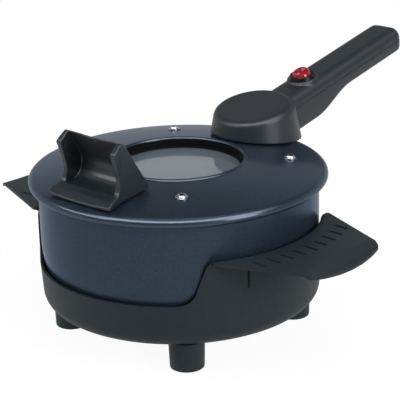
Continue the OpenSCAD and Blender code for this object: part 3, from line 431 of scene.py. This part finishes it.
class COOKER_OT_stage(bpy.types.Operator):
    """Sets up the floor, the soft studio light and the camera"""
    bl_idname = "cooker.stage"
    bl_label = "Stage"

    def execute(self, context):
        stage = context.scene.cooker_stage
        context.scene.view_settings.view_transform = "Standard"
        world = bpy.data.worlds.new("studio")
        context.scene.world = world
        world.use_nodes = True
        tree = world.node_tree
        path = add(tree, "ShaderNodeLightPath").outputs
        seen = join(tree, "MAXIMUM", path["Is Camera Ray"], path["Is Transmission Ray"])
        way = add(tree, "ShaderNodeTexCoord").outputs["Generated"]
        rise = add(tree, "ShaderNodeSeparateXYZ", {}, {0: way}).outputs["Z"]
        away = add(tree, "ShaderNodeVectorMath", {"operation": "DOT_PRODUCT", 1: BACKWARD}, {0: way}).outputs["Value"]
        low = ramp(tree, rise, 0.7, 0.2, kind="SMOOTHSTEP")
        behind = ramp(tree, away, -0.5, 0.4, kind="SMOOTHSTEP")
        glow = ramp(tree, join(tree, "MULTIPLY", low, behind), 0, 1, stage.overhead, stage.horizon)
        over = ramp(tree, rise, 0.52, 0.68, 0, stage.strip)
        under = ramp(tree, rise, 0.96, 0.84)
        front = ramp(tree, away, 0.05, -0.25)
        shown = join(tree, "MULTIPLY_ADD", join(tree, "MULTIPLY", over, under), front, glow)
        soft = add(tree, "ShaderNodeBackground", {"Strength": stage.ambient})
        gloss = add(tree, "ShaderNodeBackground", {}, {"Strength": shown})
        white = add(tree, "ShaderNodeBackground", {"Strength": 1.0})
        for sky in (soft, gloss, white):
            sky.inputs["Color"].default_value = (1, 1, 1, 1)
        lit = add(tree, "ShaderNodeMixShader", {}, {0: path["Is Glossy Ray"], 1: soft.outputs[0], 2: gloss.outputs[0]})
        mix = add(tree, "ShaderNodeMixShader", {}, {0: seen, 1: lit.outputs[0], 2: white.outputs[0]})
        tree.links.new(mix.outputs[0], tree.nodes["World Output"].inputs["Surface"])
        self.floor()
        self.lights(stage)
        self.camera(context, stage)
        return {"FINISHED"}

    def floor(self):
        """A pale floor that shows white and keeps a faint shadow."""
        bm = bmesh.new()
        bmesh.ops.create_grid(bm, x_segments=1, y_segments=1, size=6)
        mesh = bpy.data.meshes.new("floor")
        bm.to_mesh(mesh)
        bm.free()
        floor = bpy.data.objects.new("floor", mesh)
        bpy.context.scene.collection.objects.link(floor)
        paper = bpy.data.materials.new("white_backdrop_paper")
        paper.use_nodes = True
        tree = paper.node_tree
        tree.nodes.remove(tree.nodes["Principled BSDF"])
        path = add(tree, "ShaderNodeLightPath").outputs
        through = join(tree, "MAXIMUM", path["Is Camera Ray"], path["Is Transmission Ray"])
        seen = join(tree, "MAXIMUM", through, path["Is Glossy Ray"])
        matt = add(tree, "ShaderNodeBsdfDiffuse", {"Color": (0.7, 0.7, 0.7, 1)})
        catch = add(tree, "ShaderNodeBsdfDiffuse", {"Color": (0.12, 0.12, 0.12, 1)})
        glow = add(tree, "ShaderNodeEmission", {}, {"Strength": ramp(tree, path["Is Glossy Ray"], 0, 1, 0.94, 0.78)})
        white = add(tree, "ShaderNodeAddShader", {}, {0: catch.outputs[0], 1: glow.outputs[0]})
        mix = add(tree, "ShaderNodeMixShader", {}, {0: seen, 1: matt.outputs[0], 2: white.outputs[0]})
        tree.links.new(mix.outputs[0], tree.nodes["Material Output"].inputs["Surface"])
        mesh.materials.append(paper)

    def lights(self, stage):
        """Three soft boxes: front left, right, and overhead."""
        middle = AXIS + Vector((0, 0, 90 * MM))
        for name, power, place, size in (
            ("key_light", stage.key, (-0.9, -1.25, 0.9), (1.4, 0.3)),
            ("fill_light", stage.fill, (1.75, 0.0, 0.6), (0.8, 0.8)),
            ("top_light", stage.top, (-0.1, 0.2, 1.7), (1.3, 1.3)),
        ):
            lamp = bpy.data.lights.new(name, "AREA")
            lamp.shape = "RECTANGLE"
            lamp.size, lamp.size_y = size
            lamp.energy = power
            made = bpy.data.objects.new(name, lamp)
            bpy.context.scene.collection.objects.link(made)
            made.location = middle + Vector(place)
            made.rotation_euler = (-Vector(place)).to_track_quat("-Z", "Y").to_euler()

    def camera(self, context, stage):
        """The photo's view, from the front right and a little above."""
        lens = bpy.data.cameras.new("camera")
        lens.lens = stage.lens
        lens.sensor_width = 36
        lens.clip_end = 20
        camera = bpy.data.objects.new("camera", lens)
        context.scene.collection.objects.link(camera)
        right = Vector(CAMERA_RIGHT).normalized()
        forward = Vector(CAMERA_FORWARD).normalized()
        up = right.cross(forward)
        turn = Matrix((right, up, -forward)).transposed().to_4x4()
        camera.matrix_world = Matrix.Translation(AXIS + Vector(CAMERA_PLACE) * MM) @ turn
        context.scene.camera = camera


class COOKER_OT_stand(bpy.types.Operator):
    """Makes the basket with its wings, the legs, and their pads and screws"""
    bl_idname = "cooker.stand"
    bl_label = "Stand"

    def execute(self, context):
        sizes = context.scene.cooker_sizes
        softened("basket", "basket_moulding", charcoal_polyamide(), sizes.moulded_edge, 15)
        for corner in ("front_right", "rear_right", "rear_left", "front_left"):
            softened("leg_" + corner, "leg_moulding_" + corner, charcoal_polyamide(), 0)
        dress(black_silicone_and_shade(), "foot_pads")
        dress(plated_steel(), "leg_screws")
        return {"FINISHED"}


class COOKER_OT_pan(bpy.types.Operator):
    """Turns the painted pan with its rounded foot and rim"""
    bl_idname = "cooker.pan"
    bl_label = "Pan"

    def execute(self, context):
        sizes = context.scene.cooker_sizes
        wall, low, top = sizes.pan_wall, PAN_LOW.z, PAN_HIGH.z
        rim = (PAN_HIGH.x - PAN_LOW.x) / 2
        radius, rim_high, chamfer = rim - 1.6 * MM, 2.4 * MM, 0.4 * MM
        foot_in, foot_high = 15 * MM, 42 * MM
        foot = [(math.sin(a), math.cos(a)) for a in [math.radians(90 * i / 24) for i in range(25)]]
        outside = [(radius - foot_in + foot_in * s, low + foot_high * (1 - c)) for s, c in foot]
        inside = [(radius - foot_in + (foot_in - wall) * s, low + foot_high - (foot_high - wall) * c) for s, c in foot]
        lip = [(radius, top - rim_high), (rim - chamfer, top - rim_high), (rim, top - rim_high + chamfer),
               (rim, top - chamfer), (rim - chamfer, top), (radius - wall, top)]
        section = [(0, low)] + outside + lip + inside[::-1] + [(0, low + wall)]
        shell = turned(section, sizes.spin_steps)
        piece("pan_shell", shell, stove_paint("pan", 0.03), "pan", 50)
        return {"FINISHED"}


class COOKER_OT_lid(bpy.types.Operator):
    """Turns the painted lid with its rolled hem, shoulder and window bead"""
    bl_idname = "cooker.lid"
    bl_label = "Lid"

    def execute(self, context):
        sizes = context.scene.cooker_sizes
        skin = turned(self.section(sizes.sheet), sizes.spin_steps)
        piece("lid_skin", skin, stove_paint("lid", 0.15), "lid_shell", 45)
        return {"FINISHED"}

    def section(self, sheet):
        """The lid's section, from the window's wall over bead, dome, shoulder and hem, back along the underside."""
        bead_x = WINDOW + BEAD
        bead_z = dome(bead_x) + BEAD_UP - BEAD
        bead_end = math.degrees(math.asin((dome(bead_x + BEAD) - bead_z) / BEAD))
        return ([(WINDOW, WALL_Z)] + arc((bead_x, bead_z), BEAD, 180, bead_end, 12)
                + self.dome_line(bead_x + BEAD + 0.2 * MM, 0)
                + arc((LID_RADIUS - SHOULDER, RIM_Z), SHOULDER, 90 - math.degrees(LEAN), 0, 10)
                + arc((LID_RADIUS - HEM, RIM_Z), HEM, -20, -200, 12)
                + [(EDGE_R, EDGE_Z - sheet)] + self.dome_line(WINDOW + sheet, sheet)[::-1] + [(WINDOW + sheet, WALL_Z)])

    def dome_line(self, start, lower):
        """Points along the dome from a radius to the shoulder, lowered by a distance."""
        spans = [start + (EDGE_R - start) * i / 24 for i in range(24)]
        return [(r, dome(r) - lower) for r in spans]


class COOKER_OT_window(bpy.types.Operator):
    """Finishes the glass and its seals, and lines the lid's wall above them with a black band that is partly the seal
    and partly painted shade of the recess
    """
    bl_idname = "cooker.window"
    bl_label = "Window"

    def execute(self, context):
        dress(tempered_glass(), "window_glass")
        dress(black_silicone_and_shade(), "window_seal_upper", "window_seal_lower")
        # The black band over the window's inner wall is partly the seal's lip and partly painted shade of the recessed
        # wall
        bead = (WINDOW + BEAD, dome(WINDOW + BEAD) + BEAD_UP - BEAD)
        lip = arc(bead, BEAD + 0.12 * MM, 180, 172, 2) + arc(bead, BEAD + 0.02 * MM, 172, 180, 2)
        section = [(lip[0][0], WALL_Z)] + lip + [(lip[-1][0], WALL_Z)]
        rim = turned(section, context.scene.cooker_sizes.spin_steps)
        piece("seal_lip_and_recess_shade", rim, black_silicone_and_shade(), "window_seal_upper", 40, False)
        return {"FINISHED"}


class COOKER_OT_lid_fixings(bpy.types.Operator):
    """Finishes the lid's screws, washers and posts"""
    bl_idname = "cooker.lid_fixings"
    bl_label = "Lid fixings"

    def execute(self, context):
        dress(polished_steel(), "lid_washers")
        dress(plated_steel(), "lid_posts")
        # The black lining inside each socket is painted shade, put where the socket's hollow would be dark
        for name, line, material, stands_in in (("socket_screws", SCREW_LINE, plated_steel(), True),
                                                ("painted_socket_shade", SOCKET_SHADE_LINE, black_silicone_and_shade(), False)):
            section = [(r * MM, z * MM) for r, z in line]
            piece(name, turned(section, 24, self.places()), material, "lid_screws", 40, stands_in)
        return {"FINISHED"}

    def places(self):
        """Frames on the washers, square to the dome: two at the rear, then two at the front."""
        made = []
        for i, radius in enumerate(SCREW_RINGS):
            tilt = math.atan(SLOPE_OUT - 2 * BEND * (EDGE_R - radius))
            made.append(Matrix.Translation(AXIS) @ Matrix.Rotation(math.radians(45 + 90 * i), 4, "Z")
                        @ Matrix.Translation((radius, 0, dome(radius))) @ Matrix.Rotation(tilt, 4, "Y")
                        @ Matrix.Translation((0, 0, WASHER_UP)))
        return made


class COOKER_OT_heater(bpy.types.Operator):
    """Finishes the inner lid and the heating parts on it"""
    bl_idname = "cooker.heater"
    bl_label = "Heater"

    def execute(self, context):
        dress(pressed_aluminium(), "inner_lid")
        dress(heater_steel(), "heating_ring")
        dress(plated_steel(), "ring_clips")
        dress(steatite(), "ring_bushes", "terminal_block")
        dress(black_phenolic(), "thermal_cutout")
        return {"FINISHED"}


class COOKER_OT_grip(bpy.types.Operator):
    """Makes the scoop-shaped front grip and its screws"""
    bl_idname = "cooker.grip"
    bl_label = "Front grip"

    def execute(self, context):
        moulded("front_grip", "front_grip_moulding", grained_phenolic(), context.scene.cooker_sizes.grip_cell, 4)
        dress(plated_steel(), "front_grip_screws")
        return {"FINISHED"}


class COOKER_OT_handle(bpy.types.Operator):
    """Makes the two handle shells, with the boss's seat and the screws"""
    bl_idname = "cooker.handle"
    bl_label = "Handle"

    def execute(self, context):
        cell = context.scene.cooker_sizes.handle_cell
        moulded("handle_top_shell", "handle_upper_moulding", black_phenolic(), cell, 4)
        moulded("handle_bottom_shell", "handle_lower_moulding", black_phenolic(), cell, 4)
        dress(black_phenolic(), "boss_plate")
        dress(heat_board(), "heat_spacer")
        dress(plated_steel(), "seat_screws", "handle_screws")
        return {"FINISHED"}


class COOKER_OT_switch(bpy.types.Operator):
    """Makes the switch's case, its rocker and its tabs"""
    bl_idname = "cooker.switch"
    bl_label = "Switch"

    def execute(self, context):
        softened("switch_housing", "switch_case", switch_nylon(), 0.3 * MM)
        softened("rocker", "rocker_cap", red_polycarbonate(), 0.3 * MM)
        dress(brass(), "switch_terminals")
        self.marks()
        return {"FINISHED"}

    def marks(self):
        """The printed 0 on the rocker's far half and the I on its near half."""
        hinge = [j for j in frame["record"]["behaviour"]["joints"] if j["name"] == "rocker_tilt"][0]
        seat = Matrix.Translation(hinge["pos_m"]) @ Matrix.Rotation(math.radians(ROCKER_TILT), 4, "X")
        turns = [2 * math.pi * k / 24 for k in range(24)]
        half = 1.5
        for name, along, wide in (("rocker_mark_off", 3.6, 1.1), ("rocker_mark_on", -3.6, 0.15)):
            flat = [(wide * math.cos(a), along + half * math.sin(a)) for a in turns]
            dish = [(x, y, ROCKER_TOP + ROCKER_DISH - math.sqrt(ROCKER_DISH ** 2 - y * y)) for x, y in flat]
            points = [seat @ (Vector(p) * MM) for p in dish]
            piece(name, loop(points, 0.2 * MM), pale_print(), "rocker", 60, False)


class COOKER_OT_supply(bpy.types.Operator):
    """Finishes the power inlet, its pins and the wires in the handle"""
    bl_idname = "cooker.supply"
    bl_label = "Inlet and wires"

    def execute(self, context):
        dress(switch_nylon(), "power_inlet")
        dress(polished_steel(), "inlet_pins")
        for wire, hex_code in (("live", "#7a4a2a"), ("switched", "#8c2b22"),
                               ("neutral", "#2f5fa8"), ("earth", "#4f9a3c")):
            dress(wire_sheath(wire, hex_code), "wire_" + wire)
        return {"FINISHED"}


OPERATORS = (COOKER_OT_stage, COOKER_OT_stand, COOKER_OT_pan, COOKER_OT_lid, COOKER_OT_window,
             COOKER_OT_lid_fixings, COOKER_OT_heater, COOKER_OT_grip, COOKER_OT_handle, COOKER_OT_switch,
             COOKER_OT_supply)


class COOKER_PT_panel(bpy.types.Panel):
    """Sizes, colours and the steps that build the cooker"""
    bl_idname = "COOKER_PT_panel"
    bl_label = "Cooker"
    bl_space_type = "VIEW_3D"
    bl_region_type = "UI"
    bl_category = "Cooker"

    def draw(self, context):
        for group in (context.scene.cooker_sizes, context.scene.cooker_colours, context.scene.cooker_stage):
            for key in group.__annotations__:
                self.layout.prop(group, key)
        for operator in OPERATORS:
            self.layout.operator(operator.bl_idname)


GROUPS = {"cooker_sizes": CookerSizes, "cooker_colours": CookerColours, "cooker_stage": CookerStage}


def register():
    for cls in (*GROUPS.values(), *OPERATORS, COOKER_PT_panel):
        bpy.utils.register_class(cls)
    for name, group in GROUPS.items():
        setattr(bpy.types.Scene, name, PointerProperty(type=group))


def unregister():
    for name in GROUPS:
        delattr(bpy.types.Scene, name)
    for cls in (COOKER_PT_panel, *OPERATORS[::-1], *GROUPS.values()):
        bpy.utils.unregister_class(cls)


def main():
    register()
    for operator in OPERATORS:
        group, name = operator.bl_idname.split(".")
        getattr(getattr(bpy.ops, group), name)()


if __name__ == "__main__":
    main()
